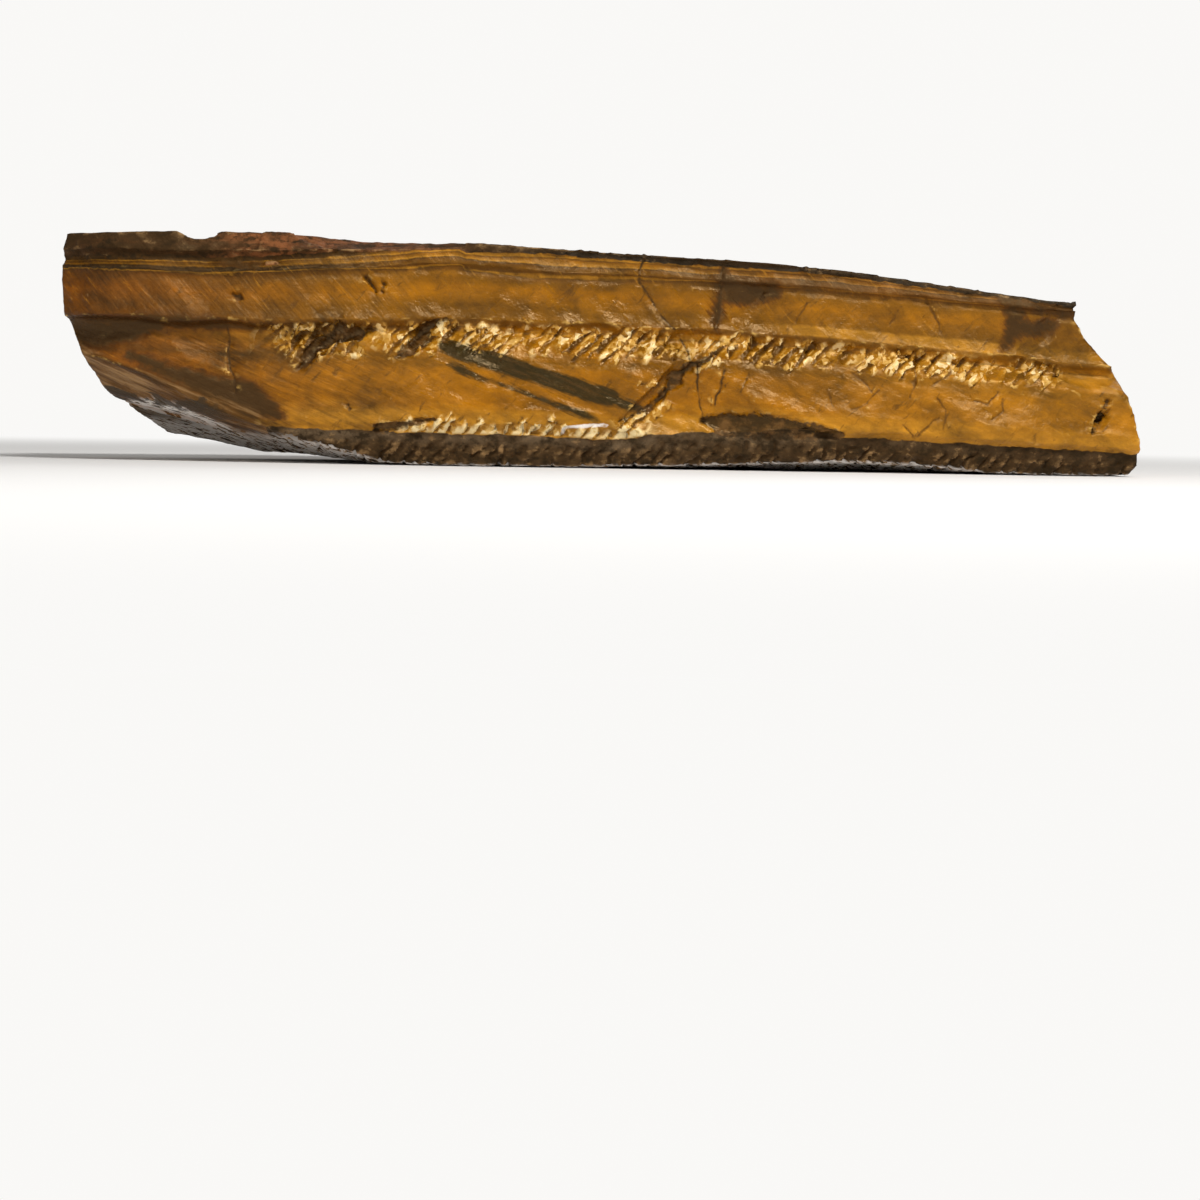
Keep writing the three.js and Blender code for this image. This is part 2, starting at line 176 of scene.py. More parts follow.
# Hairline cracks in the front face, in millimetres: (place along the slab, height)
CRACKS = [
    [(-79.1, 27.7), (-78.6, 23.6), (-78.2, 20.1), (-77.7, 15.5)],
    [(16.9, 27.7), (18.5, 25.5), (19.2, 23)],
    [(20.1, 22), (20.3, 17.4), (21, 13.9), (21.5, 11.3)],
    [(25.8, 20.5), (25, 17.5), (24.3, 14.4)],
    [(30.9, 20.1), (29.5, 17)],
    [(8.7, 44.6), (7.8, 40.5), (7.6, 39), (11.6, 34), (15.2, 29.5)],
    [(25, 42.8), (24.8, 36.7), (24.3, 30.1)],
    [(66.3, 24.7), (66, 19.9), (65.1, 16.6)],
    [(73.3, 22.2), (72, 20.5), (70.2, 19.2)],
    [(53.5, 20.8), (55.1, 19.5), (56.5, 17.6)],
    [(58, 17.2), (55.9, 14.8), (53.3, 13.8)],
    [(84.4, 15.5), (84.9, 13.6), (82.5, 11.8)],
    [(79.1, 15.4), (81.2, 14.9), (83, 17)],
    [(71.2, 15.3), (72.5, 13.2), (72, 10)],
    [(47.7, 16.7), (48.8, 14.6)],
    [(70.7, 11.6), (67, 8.3)],
    [(64.3, 9.6), (65.4, 8.1)],
    [(42.7, 34.8), (41.1, 32.2)],
    [(62.2, 33.6), (61.2, 32)],
    [(68.5, 35.8), (71.2, 30.5)],
]

# Lean of the bevel's grain and of the corner's scratches from upright
BEVEL_GRAIN = math.radians(68)
SCRATCH_LEAN = math.radians(53)

# Lean of the fibre from upright, below and above the ledge
FIBRE_LEAN_LOW = math.radians(67)
FIBRE_LEAN_HIGH = math.radians(42)
LEDGE_CUT = 1.965

# Lean of the hackle's plates from upright, and a plate's width, depth and length by the pitch
HACKLE_LEAN = math.radians(-42)
HACKLE_PLATE = (1, 2, 2)

# Across one patch of the relief's own patterns, in millimetres; the material shares drift and facet
RAGGED_PATCH = (2.8, 2.8, 2)
DRIFT_PATCH = (4, 4, 4)
FACET_PATCH = (0.9, 1.4, 1.1)

# Width, depth and length of a bundle of fibre, a flake of it and a plate of the top skin, by their sizes
BUNDLE = (1, 2.5, 9)
FLAKE = (1, 1.2, 3.2)
TOP_PLATE = (1.3, 1, 3)

# Steps in the broken fibre's whole relief, and the direction across the lower skin's slanting cuts
FIBRE_STEPS = 9.0
ACROSS_CUTS = (0.80, -0.60)

# Patterns of the material: across one patch in millimetres, then detail, roughness and distortion
PATTERNS = {
    # Real fibre and grit are too fine to show, so the streaks and the grit are drawn coarser
    "streak": ((0.7, 2.4, 7), 5, 0.6, 0.25),
    "silk": ((3.6, 7, 17), 3, 0.55, 0.4),
    "mottle": ((15, 15, 9), 3, 0.6, 0),
    "speck": ((3.2, 3.2, 2.4), 4, 0.65, 0),
    "blot": ((6, 6, 4.5), 3, 0.6, 0.6),
    "grit": ((0.6, 0.6, 0.6), 3, 0.7, 0),
    "drape": ((26, 26, 2.2), 3, 0.6, 0),
    "fleck": ((1.5, 3, 5), 4, 0.6, 0.5),
    "scuff": ((1.6, 3, 18), 4, 0.6, 0),
    "scratch": ((0.9, 1.4, 16), 4, 0.6, 0),
    "drift": (DRIFT_PATCH, 2, 0.5, 0),
}

# Where a look changes along the slab, in millimetres, and its strength to the left and to the right of that
ALONG = {
    "undercut": (-58, -44, 0.9, 0),
    "stripe": (32, 46, 0, 0.8),
    "stripe_end": (82, 90, 1, 0.3),
    "dim": (-112, -40, 0.9, 0),
    "left_bands": (-62, -40, 0.85, 0),
    "olive": (-75, -35, 1, 0.3),
    "brown_bands": (5, 40, 0, 0.8),
    "rich": (20, 90, 0, 0.25),
    "brushed": (-55, -25, 1.3, 0.3),
    "dark_wall": (20, 75, 0, 0.75),
    "black_top": (-20, 30, 0, 0.8),
    "black_pits": (-10, 8, 0, 0.8),
    "corner_pits": (-84, -78, 0.85, 0),
    "faint_cracks": (30, 45, 0, 0.7),
    "dull_left": (-80, -40, 0.14, 0),
    "dull_right": (30, 60, 0, 0.1),
}

# Where the rusty part of the top skin ends, and the brown cap in it, in millimetres
RUST_END = (-30, 10)
CAP_END = (-78, -66)

# How far the whole relief lies below the solid's face, in millimetres
SINK = 0.25

# Relief of the broken fibre on the ends and the back: times that of the front, and millimetres further in
REAR_RELIEF = 1.5
REAR_SINK = -0.3

# Quartz: refraction, strength of its highlights, and strength and height in millimetres of the fine bump
QUARTZ_IOR = 1.54
HIGHLIGHTS = 0.45
BUMP_STRENGTH = 0.55
BUMP_HEIGHT = 0.5

# Weight of the places away from the front when the mesh is thinned
THIN_BEHIND = 0.01

# Vertices of the solid that are merged, by their distance in millimetres
MERGE = 0.001

# Marks that the relief and the material read from the mesh
RELIEF_MARKS = ("bed", "skin", "facet", "bevel", "shelf", "hollow", "crack", "near", "front")
SHADE_MARKS = (
    "bed", "crust", "foot", "facet", "bevel", "shelf", "hawk", "stain", "hollow", "crack", "near", "relief",
    "cut", "edge", "quartz", "melt",
)

# Settings of the mesh as a whole; the relief's tree takes the slab's other sizes as its inputs
MESH_SETTINGS = ("cell", "smoothing", "softening", "triangles", "seed")

# The floor's half side, and how far from the origin its glow begins and is full, in metres
FLOOR_REACH = 6.0
GLOW_FROM, GLOW_TO = 0.14, 0.52
PAPER_ROUGHNESS = 0.9
PAPER_HIGHLIGHTS = 0.1

# The lights' places and sizes, and what they are turned to, in metres
LIGHTS = {
    "softbox": ((0.18, -0.42, 0.5), (0.18, 0.14)),
    "fill": ((-0.35, -0.65, 0.22), (0.35, 0.3)),
    "rear": ((0.25, 0.5, 0.45), (0.4, 0.3)),
}
LIGHT_TARGET = (0, 0, 0.02)

# The nearest that the camera sees, in metres
NEAREST = 0.005

# Pixels of the photograph's frame: its side, and where the slab's origin stands on the front face
FRAME_SIDE = 1200
ORIGIN_PIXEL = (595, 469)

# Kinds of node by a short name, with their settings here; a fade goes from 0 to 1 unless told otherwise
SUMS = {
    "times": "MULTIPLY", "plus": "ADD", "over": "DIVIDE", "whole": "FLOOR", "rest": "FRACT",
    "span": "ABSOLUTE", "past": "GREATER_THAN",
}
KINDS = {
    **{name: ("ShaderNodeMath", {"operation": kind}) for name, kind in SUMS.items()},
    "fade": ("ShaderNodeMapRange", {"interpolation_type": "SMOOTHSTEP"}),
    "mix": ("ShaderNodeMix", {"data_type": "FLOAT"}),
    "either": ("ShaderNodeMix", {"data_type": "VECTOR"}),
    "tint": ("ShaderNodeMix", {"data_type": "RGBA"}),
    "cells": ("ShaderNodeVectorMath", {"operation": "DIVIDE"}),
    "shift": ("ShaderNodeVectorMath", {"operation": "ADD"}),
    "grow": ("ShaderNodeVectorMath", {"operation": "SCALE"}),
    "lean": ("ShaderNodeVectorRotate", {"rotation_type": "Y_AXIS"}),
    "axes": ("ShaderNodeSeparateXYZ", {}),
    "noise": ("ShaderNodeTexNoise", {}),
    "ramp": ("ShaderNodeValToRGB", {}),
}


def linear(code):
    """A linear colour from an sRGB hex code."""
    channels = [int(code[i:i + 2], 16) / 255 for i in (1, 3, 5)]
    return [c / 12.92 if c <= 0.04045 else ((c + 0.055) / 1.055) ** 2.4 for c in channels] + [1.0]


def length(name, default, description):
    """A property that holds a length, from its default in millimetres."""
    return FloatProperty(
        name=name, description=description, default=default * MM, min=0.0, unit="LENGTH", precision=5)


def colour(name, code, description):
    """A property that holds a colour, from its sRGB hex code."""
    return FloatVectorProperty(
        name=name, description=description, default=linear(code), size=4, subtype="COLOR", min=0.0, max=1.0)


class SlabSizes(bpy.types.PropertyGroup):
    """Sizes of the slab's fine relief."""
    cell: length("Cell", 0.42, "Cell of the mesh before it is thinned")
    fibre_spacing: length("Fibre spacing", 1.1, "Across one bundle of fibre")
    fibre_relief: length("Fibre relief", 0.14, "Height of the fibre's ridges")
    step_size: length("Step size", 5.5, "Across one broken step of the fibre")
    step_relief: length("Step relief", 2.2, "Height of all the broken steps together")
    wave_size: length("Wave size", 19.0, "Across one swell of the broken face")
    wave_relief: length("Wave relief", 1.6, "Height of the swells")
    hackle_pitch: length("Hackle pitch", 2.3, "From one plate of the hackle to the next")
    hackle_height: length("Hackle height", 1.0, "Height of the hackle's plates")
    hatch_pitch: length("Hatch pitch", 2.3, "From one slanting cut of the lower skin to the next")
    hatch_depth: length("Hatch depth", 0.9, "Depth of the slanting cuts")
    grain_size: length("Skin grain", 4.5, "Across one lump of the rock skin")
    grain_relief: length("Skin relief", 0.9, "Height of the rock skin's lumps")
    plate_size: length("Plate size", 15.0, "Across one plate of the top skin")
    plate_step: length("Plate step", 0.9, "Step between the top skin's plates")
    crack_depth: length("Crack depth", 0.35, "Depth of the hairline cracks")
    hollow_depth: length("Hollow depth", 1.1, "Depth of the broken hollows")
    smoothing: IntProperty(name="Smoothing", description="Passes that melt the solid's facets", default=8)
    softening: IntProperty(name="Softening", description="Passes that soften the ledge", default=80)
    triangles: IntProperty(name="Triangles", description="Most triangles of the slab", default=194000)
    seed: IntProperty(name="Seed", description="Seed of the relief", default=7)


RELIEF_INPUTS = [name for name in SlabSizes.__annotations__ if name not in MESH_SETTINGS]


class SlabColours(bpy.types.PropertyGroup):
    """Colours of the slab."""
    gold: colour("Gold fibre", "#925a00", "Lower fibre")
    # Pale gold is also the painted highlight on the fibre's broken edges
    pale_gold: colour("Pale gold", "#e0b25e", "Freshly broken fibre on the shelf")
    # A painted glint on the brightest plates of the hackle
    splinter: colour("Splinter", "#fbe3ac", "Thin bright edges of broken fibre")
    honey: colour("Honey", "#b0771a", "Foot of the lower fibre and stripe above the ledge")
    amber: colour("Amber", "#744800", "Upper fibre")
    # Painted shade that darkens the fibre towards the left end
    sienna: colour("Sienna", "#6a4008", "Browner fibre between the gold")
    dim: colour("Dim", "#c8ac84", "What is left of the fibre's colour at the left end")
    olive: colour("Olive", "#a09a82", "What is left of the bands' colour at the left end")
    umber: colour("Umber", "#4d2e08", "Lines between bands")
    pitch: colour("Pitch", "#160d05", "Deepest pits of the rock skin")
    dark_umber: colour("Dark umber", "#2b1806", "Undercuts and cracks")
    hawk: colour("Hawk's-eye green", "#131405", "Streak of fibre that kept its blue iron")
    stain: colour("Iron stain", "#96765e", "Brown stains, as what they leave of the fibre's colour")
    tan: colour("Tan", "#a07c50", "Bruised edges of fibre and spots in the rock skin")
    broken: colour("Broken brown", "#6b4a28", "Dull hollows and the bevel")
    wall_rock: colour("Wall rock", "#3f2b17", "Foot of the lower rock skin")
    grey_rock: colour("Grey rock", "#5a4a38", "Head of the lower rock skin")
    ironstone: colour("Ironstone", "#221e1b", "Upper rock skin")
    cap: colour("Brown cap", "#40220a", "Left end of the upper skin")
    red_rock: colour("Red rock", "#7c4826", "Rusty part of the upper skin")
    glint: colour("Glint", "#ffd9a0", "Warm tint of the silky highlights")
    # Pale grey of the underside, partly painted reflection of the floor below, and the quartz rim's white
    bloom: colour("Grey bloom", "#eee8e2", "Pale film on the underside")


class StageSettings(bpy.types.PropertyGroup):
    """The camera, the floor and the lights."""
    distance: length("Camera distance", 600, "From the camera to the front face")
    eye: length("Eye height", 11, "Height of the camera above the floor")
    scale: FloatProperty(name="Millimetres a pixel", description="On the front face", default=0.2098)
    roll: FloatProperty(
        name="Roll", description="Lean of the photograph", default=math.radians(0.93), subtype="ANGLE")
    floor: colour("Floor", "#f1efec", "Pale matt floor")
    key: FloatProperty(name="Key light", description="Power of the softbox", default=3.75, unit="POWER")
    fill: FloatProperty(name="Fill light", description="Power of the fill", default=0.8, unit="POWER")
    rear: FloatProperty(name="Rear light", description="Power of the back light", default=0.9, unit="POWER")
    sky: FloatProperty(name="Sky", description="Strength of the surrounding light", default=0.2)
    backdrop: FloatProperty(name="Backdrop", description="Brightness of the backdrop", default=0.95)
    white: colour("White", "#fffefc", "Light of the backdrop and of the floor's far parts")


def put(tree, kind, *values, out=0, stops=None, **settings):
    """Adds a node. Values fill its inputs in order: a socket is linked, anything else but None is set."""
    kind, always = KINDS.get(kind, (kind, {}))
    made = tree.nodes.new(kind)
    for name, value in {**always, **settings}.items():
        setattr(made, name, value)
    for socket, value in zip([s for s in made.inputs if s.enabled], values):
        if isinstance(value, bpy.types.NodeSocket):
            tree.links.new(value, socket)
        elif value is not None:
            socket.default_value = value
    if stops:
        ramp = made.color_ramp.elements
        while len(ramp) < len(stops):
            ramp.new(1.0)
        for element, (place, shade) in zip(ramp, stops):
            element.position = place
            element.color = shade
    if out is None:
        return made
    return made.outputs[out] if isinstance(out, str) else [s for s in made.outputs if s.enabled][out]


def smooth(low, high, value):
    """A smooth step from 0 at low to 1 at high."""
    share = np.clip((value - low) / (high - low), 0.0, 1.0)
    return share * share * (3.0 - 2.0 * share)


def height_of(points, x):
    """Height at x of the smooth line through given points."""
    places, heights = np.array(points, float).T
    slopes = np.gradient(heights, places)
    i = np.clip(np.searchsorted(places, x) - 1, 0, len(places) - 2)
    span = places[i + 1] - places[i]
    t = np.clip((x - places[i]) / span, 0.0, 1.0)
    rise = smooth(0.0, 1.0, t)
    bend = span * t * (1 - t) * ((1 - t) * slopes[i] - t * slopes[i + 1])
    return heights[i] + (heights[i + 1] - heights[i]) * rise + bend


def depth_inside(strokes, x, z):
    """Depth inside the nearest of some brush strokes, in millimetres, below 0 outside them."""
    depth = np.full(len(x), -FAR)
    for stroke in strokes:
        for (x0, z0, half0), (x1, z1, half1) in zip(stroke, stroke[1:]):
            dx, dz = x1 - x0, z1 - z0
            t = np.clip(((x - x0) * dx + (z - z0) * dz) / (dx * dx + dz * dz), 0.0, 1.0)
            gap = np.hypot(x - x0 - t * dx, z - z0 - t * dz)
            depth = np.maximum(depth, half0 + t * (half1 - half0) - gap)
    return depth


def beside_cracks(paths, x, z):
    """Distance from the nearest crack, and how far to its left that is, so that a hairline stays sharp."""
    nearest = np.full(len(x), FAR)
    aside = np.full(len(x), FAR)
    for path in paths:
        for (x0, z0), (x1, z1) in zip(path, path[1:]):
            dx, dz = x1 - x0, z1 - z0
            t = np.clip(((x - x0) * dx + (z - z0) * dz) / (dx * dx + dz * dz), 0.0, 1.0)
            gap = np.hypot(x - x0 - t * dx, z - z0 - t * dz)
            left = ((x - x0) * dz - (z - z0) * dx) / math.hypot(dx, dz)
            aside = np.where(gap < nearest, left, aside)
            nearest = np.minimum(gap, nearest)
    return nearest, aside


def marks_of(place, normal):
    """What lies where on the slab, for each vertex, from its place in millimetres and its normal."""
    x, y, z = (place - DRAWN_FROM).T
    up = normal[:, 2]
    depth = np.clip((y + HALF_DEPTH) / (2 * HALF_DEPTH), 0.0, 1.0)
    lines = [height_of(points, x) for points in BEDS]
    level = z + SKIN_DIP * depth * np.clip(z / lines[TOP], 0.0, 1.0)
    level = level + BAND_SHIFT * smooth(*FAULT, x) * (1 - smooth(*FAULT_END, x)) * smooth(*FAULT_FOOT, z)
    bed = sum(np.clip((level - low) / (high - low), 0.0, 1.0) for low, high in zip(lines, lines[1:]))
    front = 1.0 - smooth(*FRONT_END, y)

    # Depth inside the rock skin, in millimetres, above 0 inside it; what faces up is skin
    top_skin = level - lines[BAND_TOP] + SKIN_DROP * smooth(*SKIN_DROP_FROM, x)
    top_skin = np.where((up > 0.6) & (bed > 3.0), 2.0, top_skin)
    skin = np.maximum(lines[WALL_TOP] - level, top_skin)
    foot = smooth(-0.8, -0.92, up) * (1.0 - smooth(0.4, 0.8, bed))
    corner = (1.0 - smooth(CORNER_END - 3, CORNER_END + 3, x)) * front
    facet = smooth(-0.4, 0.4, height_of(FACET_LINE, x) - z) * corner
    bevel = smooth(-0.6, 0.6, height_of(BEVEL_LINE, x) - z) * corner * (1 - facet)
    skin = np.where(corner > 0.5, np.minimum(skin, level - lines[BAND_TOP]), skin)

    # Hackle: a strip below the ledge with uneven limits, and splinters at the foot of the lower fibre
    sway = 0.045 * np.sin(0.83 * x) + 0.035 * np.sin(2.1 * x + 1.0) + 0.03 * np.sin(0.31 * x + 2.0)
    shelf = smooth(1.72, 1.80, bed + sway) * (1 - smooth(1.97, 2.02, bed + 0.6 * sway))
    patchy = 0.45 + 0.55 * smooth(-0.5, 0.3, np.sin(0.19 * x + 1.4) + 0.5)
    shelf *= smooth(*SHELF_FROM, x) * (1 - smooth(*SHELF_TO, x)) * patchy
    splinters = smooth(1.0, 1.02, bed) * (1 - smooth(1.07, 1.12, bed + sway))
    splinters *= smooth(*SPLINTERS_FROM, x) * (1 - smooth(*SPLINTERS_TO, x))
    chips = smooth(-0.4, 0.6, depth_inside(CHIPPED, x, z))
    near, crack = beside_cracks(CRACKS, x, z)
    on_front = partial(np.where, front > 0.5)
    strokes = {"hawk": HAWK_STREAKS, "stain": STAINS, "hollow": HOLLOWS, "quartz": QUARTZ}
    return {
        "bed": bed, "skin": np.clip(skin, -6, 6), "foot": foot, "facet": facet, "bevel": bevel,
        "shelf": np.maximum(np.maximum(shelf, splinters), 0.9 * chips) * front,
        **{name: on_front(depth_inside(drawn, x, z), -FAR) for name, drawn in strokes.items()},
        "crack": crack, "near": on_front(1.0 - smooth(0.6, 1.2, near), 0.0),
        "front": front * smooth(0.3, -0.2, up),
        "melt": smooth(1.72, 1.82, bed) * (1 - smooth(2.02, 2.12, bed)) * smooth(*SOFT_FROM, x) * front,
    }


def swing(add, pattern, amount):
    """A pattern's swing about its middle, times an amount."""
    return add("times", add("plus", pattern, -0.5), amount)


def along_fibre(add, place, bed):
    """Places turned so that Z runs along the fibre, which leans more below the ledge than above it."""
    low = add("lean", place, None, FIBRE_LEAN_LOW)
    high = add("lean", place, None, FIBRE_LEAN_HIGH)
    above = add("past", bed, LEDGE_CUT)
    return add("either", above, low, high), above


def hackle_plates(add, place, pitch):
    """Plates of broken fibre that lean along the shelf: each one's chance, and its height with its tilt."""
    leaning = add("lean", place, None, HACKLE_LEAN)
    cells = add("cells", leaning, add("grow", HACKLE_PLATE, pitch))
    plates = add("ShaderNodeTexVoronoi", cells, 1, out=None).outputs
    chance = add("axes", plates["Color"], out="X")
    across = add("ShaderNodeVectorMath", cells, plates["Position"], operation="SUBTRACT")
    tilt = add("axes", across, out="X")
    return chance, add("plus", chance, add("times", tilt, 1.1))


def small_facets(add, place):
    """A chance for each small facet of the hackle."""
    cells = add("cells", place, FACET_PATCH)
    return add("axes", add("ShaderNodeTexVoronoi", cells, 1, out="Color"), out="X")


def relief_tree(material):
    """The relief of broken fibre and rock skin: a tree that moves points along their normals."""
    tree = bpy.data.node_groups.new("Broken fibre relief", "GeometryNodeTree")
    add = partial(put, tree)
    tree.interface.new_socket("Geometry", in_out="INPUT", socket_type="NodeSocketGeometry")
    for name in [*RELIEF_INPUTS, "seed"]:
        tree.interface.new_socket(name, in_out="INPUT", socket_type="NodeSocketFloat")
    tree.interface.new_socket("Geometry", in_out="OUTPUT", socket_type="NodeSocketGeometry")
    given = add("NodeGroupInput", out=None).outputs
    place = add("shift", add("GeometryNodeInputPosition"), given["seed"])
    normal = add("GeometryNodeInputNormal")
    mark = SimpleNamespace()
    for name in RELIEF_MARKS:
        setattr(mark, name, add("GeometryNodeInputNamedAttribute", name, data_type="FLOAT"))

    # Fibre: fine ridges along it, and steps where bundles broke off, over the swells of the broken face
    along, above = along_fibre(add, place, mark.bed)
    bundle = add("grow", BUNDLE, given["fibre_spacing"])
    ridge = add("noise", add("cells", along, bundle), 1, 2.0, 0.55)
    ridge = swing(add, ridge, given["fibre_relief"])
    flake = add("grow", FLAKE, given["step_size"])
    steps = add("times", add("noise", add("cells", along, flake), 1, 2.5, 0.55), FIBRE_STEPS)
    riser = add("fade", add("rest", steps), 0.72, 1)
    steps = add("plus", add("over", add("plus", add("whole", steps), riser), FIBRE_STEPS), -0.5)
    steps = add("times", add("times", steps, given["step_relief"]), add("mix", above, 0.6, 0.5))
    swell = add("noise", add("cells", place, given["wave_size"]), 1, 1)
    swell = swing(add, swell, given["wave_relief"])

    # Hackle: plates that overlap like shingles along the shelf, each of its own height
    plate = hackle_plates(add, place, given["hackle_pitch"])[1]
    plate = add("plus", plate, add("times", small_facets(add, place), 0.35))
    hackle = add("times", add("plus", plate, -0.6), add("times", given["hackle_height"], mark.shelf))

    # Rock skin: lumps, plates on top, and slanting cuts on the front of the lower skin
    axes = add("axes", place, out=None).outputs
    aside = add("plus", add("times", axes["X"], ACROSS_CUTS[0]), add("times", axes["Z"], ACROSS_CUTS[1]))
    drift = add("noise", add("cells", place, DRIFT_PATCH), 1, 2.0)
    ragged = add("noise", add("cells", place, RAGGED_PATCH), 1, 4.0, 0.62)
    crust = add("plus", swing(add, ragged, 1.6), mark.skin)
    in_skin = add("fade", crust, -0.15, 0.15)
    in_fibre = add("fade", crust, -0.15, 0.15, 1, 0)
    lump = add("noise", add("cells", place, given["grain_size"]), 1, 4.0, 0.6)
    slab_cell = add("grow", TOP_PLATE, given["plate_size"])
    tops = add("ShaderNodeTexVoronoi", add("cells", place, slab_cell), 1, out="Color")
    tops = add("axes", tops, out="X")
    upward = add("fade", add("axes", normal, out="Z"), 0.4, 0.75)
    tops = add("times", add("times", add("plus", tops, -1), given["plate_step"]), upward)
    slant = add("plus", add("over", aside, given["hatch_pitch"]), add("times", drift, 2.0))
    cut = add("fade", add("rest", slant), 0, 0.5, 1, 0)
    cut = add("times", cut, add("fade", lump, 0.42, 0.6, 1, 0))
    cut = add("times", cut, add("times", add("fade", mark.bed, 0.55, 0.85, 1, 0), mark.front))
    lump = add("times", add("plus", lump, -0.55), given["grain_relief"])
    skin = add("plus", add("plus", lump, tops), add("times", add("times", cut, given["hatch_depth"]), -1))

    # Hollows and cracks go below the rest
    deep = add("fade", add("plus", mark.hollow, swing(add, ragged, 4.0)), -0.3, 0.5, 0, -1)
    corner = add("fade", add("plus", mark.bevel, mark.facet), 0.2, 0.8, 1, 0)
    deep = add("times", add("times", deep, corner), given["hollow_depth"])
    bent = add("plus", mark.crack, swing(add, drift, 1.9))
    slit = add("times", add("fade", add("span", bent), 0.1, 0.5, -1, 0), mark.near)
    slit = add("times", slit, given["crack_depth"])

    broken = add("plus", add("plus", ridge, steps), swell)
    broken = add("times", broken, add("mix", mark.front, REAR_RELIEF, 1))
    broken = add("plus", broken, add("mix", mark.front, REAR_SINK, 0))
    fibre = add("plus", broken, hackle)
    height = add("plus", add("times", fibre, in_fibre), add("times", skin, in_skin))
    height = add("plus", add("plus", height, -SINK), add("plus", deep, slit))
    moved = add("GeometryNodeSetPosition", given["Geometry"], None, None, add("grow", normal, height))
    kept_marks = {"crust": crust, "cut": cut, "relief": broken}
    stored = {"data_type": "FLOAT", "domain": "POINT"}
    for name, value in kept_marks.items():
        moved = add("GeometryNodeStoreNamedAttribute", moved, None, name, value, **stored)
    whole = add("GeometryNodeRealizeInstances", moved)
    add("NodeGroupOutput", add("GeometryNodeSetMaterial", whole, None, material), out=None)
    return tree


def bed_ramp(add, share, stops):
    """Colours by bed, from the wall rock's top to the bands' top."""
    span = BAND_TOP - WALL_TOP
    return add("ramp", share, stops=[((bed - WALL_TOP) / span, shade) for bed, shade in stops])


def bed_colours(add, c, on):
    """Colours of the fibre by its beds, and how they change along the slab."""
    bed = on.bed
    wander = add("plus", swing(add, on.speck, 0.06), swing(add, on.drape, 0.3))
    share = add("ShaderNodeMapRange", add("plus", bed, wander), WALL_TOP, BAND_TOP)
    fibre = bed_ramp(add, share, [
        (1.00, c.honey), (1.12, c.honey), (1.28, c.gold), (1.60, c.gold), (1.70, c.amber), (1.77, c.gold),
        (1.93, c.honey), (1.98, c.gold), (2.03, c.sienna), (2.14, c.amber), (2.35, c.amber), (2.65, c.gold),
        (2.90, c.amber), (2.98, c.sienna), (3.03, c.umber), (3.07, c.honey), (3.13, c.sienna),
        (3.30, c.amber), (3.46, c.sienna), (3.52, c.umber), (3.58, c.honey), (3.70, c.gold),
        (3.76, c.sienna), (3.81, c.honey), (3.92, c.gold), (4.00, c.sienna),
    ])

    # Painted shadow under the left of the ledge, a pale stripe above its right, and brown mottling
    under = add("times", add("fade", bed, 1.93, 1.96), add("fade", bed, 1.99, 2.03, 1, 0))
    fibre = add("tint", add("times", under, on.undercut), fibre, c.umber)
    stripe = add("times", add("fade", bed, 2.10, 2.15), add("fade", bed, 2.30, 2.36, 1, 0))
    stripe = add("times", add("times", stripe, on.stripe), on.stripe_end)
    fibre = add("tint", stripe, fibre, c.honey)
    fibre = add("tint", add("fade", on.mottle, 0.48, 0.72, 0, 0.5), fibre, c.umber)
    # Painted shade: the fibre darkens towards the left end
    fibre = add("tint", on.dim, fibre, c.dim, blend_type="MULTIPLY")

    # The bands are darker, wider and more olive at the left end, and brown at the right
    left_bands = bed_ramp(add, share, [
        (3.00, c.sienna), (3.05, c.dark_umber), (3.34, c.umber), (3.42, c.dark_umber), (3.50, c.honey),
        (3.60, c.gold), (3.66, c.honey), (3.74, c.gold), (3.82, c.honey), (3.88, c.dark_umber),
        (4.00, c.pitch),
    ])
    banded = add("times", on.left_bands, add("fade", bed, 2.98, 3.03))
    fibre = add("tint", banded, fibre, left_bands)
    olive = add("times", on.olive, add("fade", bed, 2.95, 3.05))
    fibre = add("tint", olive, fibre, c.olive, blend_type="MULTIPLY")
    browner = add("times", on.brown_bands, add("fade", bed, 2.96, 3.04))
    lower_band = add("times", browner, add("fade", bed, 3.42, 3.58, 1, 0))
    fibre = add("tint", lower_band, fibre, c.sienna)

    # Thin pale lines that come and go along the bands
    black, white = (0, 0, 0, 1), (1, 1, 1, 1)
    dashed = bed_ramp(add, share, [
        (3.00, black), (3.05, white), (3.10, black), (3.54, black), (3.58, white), (3.62, black),
        (3.78, black), (3.82, white), (3.86, black),
    ])
    dashed = add("times", dashed, add("fade", on.mottle, 0.35, 0.6, 0.15, 0.7))
    fibre = add("tint", dashed, fibre, c.honey)
    richer = add("times", on.rich, add("fade", bed, 2.3, 2.4, 1, 0.2))
    fibre = add("tint", richer, fibre, c.honey)
    return add("tint", add("times", browner, 0.6), fibre, c.stain, blend_type="MULTIPLY")


